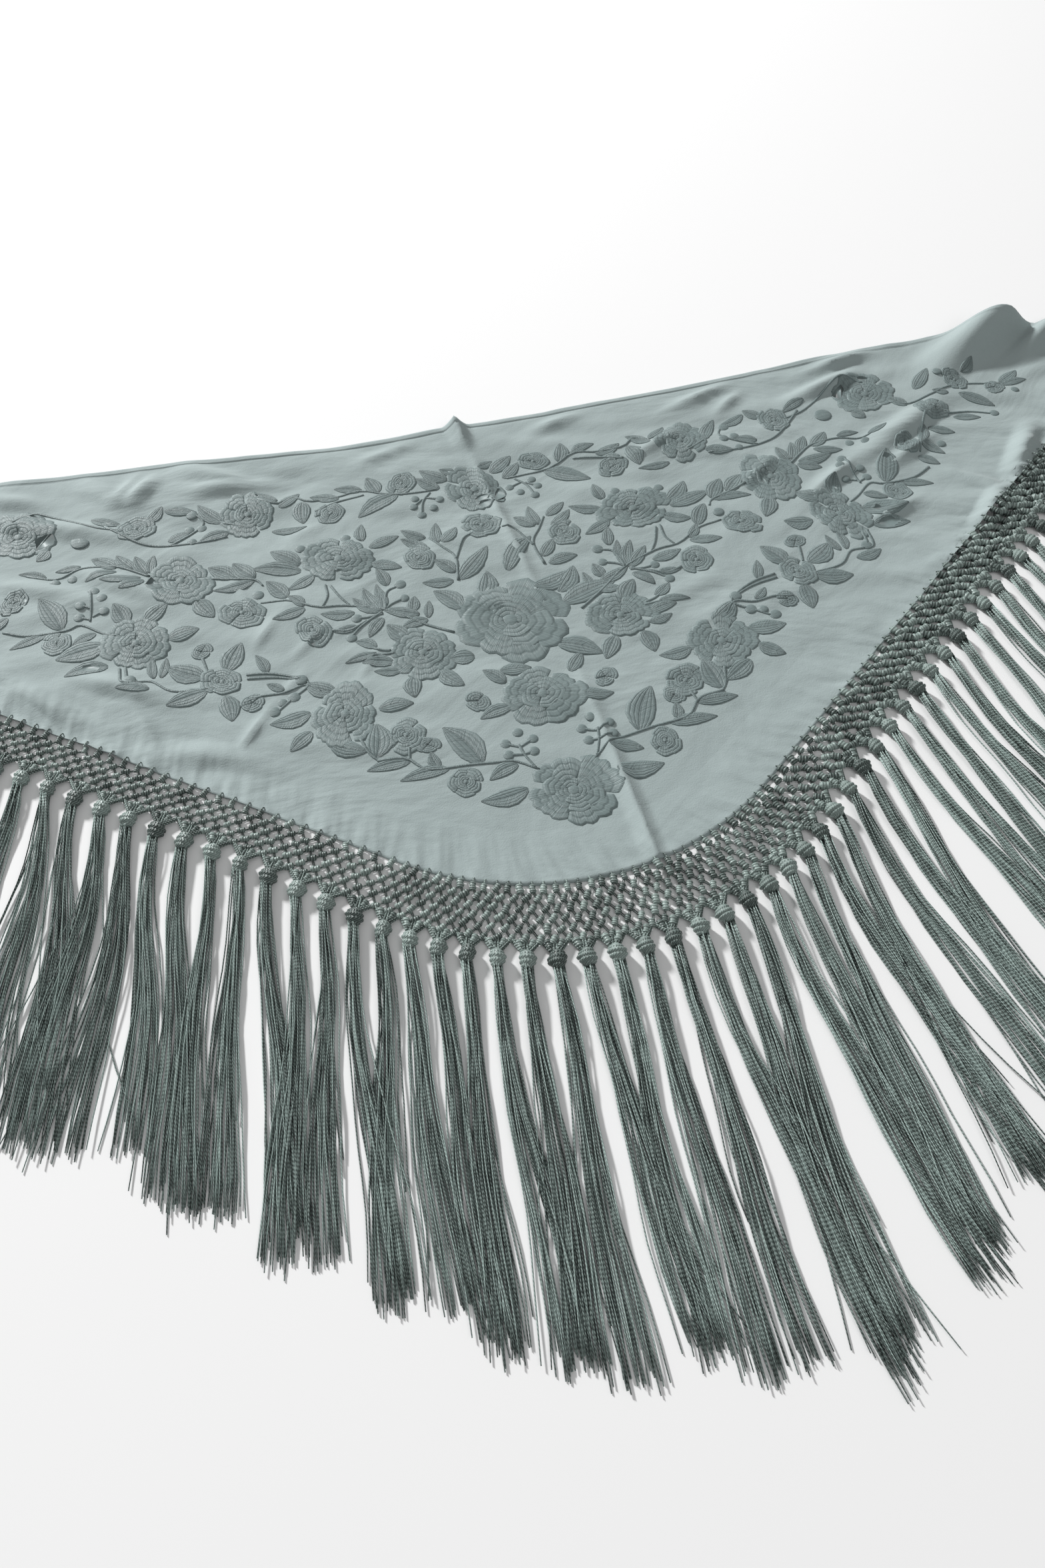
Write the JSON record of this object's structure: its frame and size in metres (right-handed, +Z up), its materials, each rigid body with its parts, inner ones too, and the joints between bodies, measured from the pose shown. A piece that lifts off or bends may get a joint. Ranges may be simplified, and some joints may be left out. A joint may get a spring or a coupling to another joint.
{
  "type": "flamenco shawl",
  "caption": "Fringed flamenco shawl laid flat: a wide triangle of crepe with a rounded point, tone-on-tone flower embroidery, a knotted net border and long thread tassels.",
  "frame": {"origin": "on the surface the shawl lies on, below the middle of its bounding box", "axes": "+X along the top edge, to the right as the shawl is seen from the fringe side; +Y from the rounded point towards the top edge; +Z up"},
  "size_m": [1.6353, 0.8029, 0.0276],
  "materials": {
    "crepe": "light grey-sage matt crepe with a soft sheen and raised tone-on-tone satin-stitch flowers",
    "embroidery": "satin-stitch silk thread, a shade darker than the crepe",
    "net_cord": "knotted net of twisted glossy thread, dark grey-green",
    "fringe_thread": "glossy twisted thread, dark grey-green"
  },
  "bodies": {
    "root": {"shawl_cloth": "crepe", "net_left": "net_cord", "net_point": "net_cord", "net_right": "net_cord", "fringe_01": "fringe_thread", "fringe_02": "fringe_thread", "fringe_03": "fringe_thread", "fringe_04": "fringe_thread", "fringe_05": "fringe_thread", "fringe_06": "fringe_thread", "fringe_07": "fringe_thread", "fringe_08": "fringe_thread", "fringe_09": "fringe_thread", "fringe_10": "fringe_thread", "fringe_11": "fringe_thread", "fringe_12": "fringe_thread"}
  },
  "joints": []
}
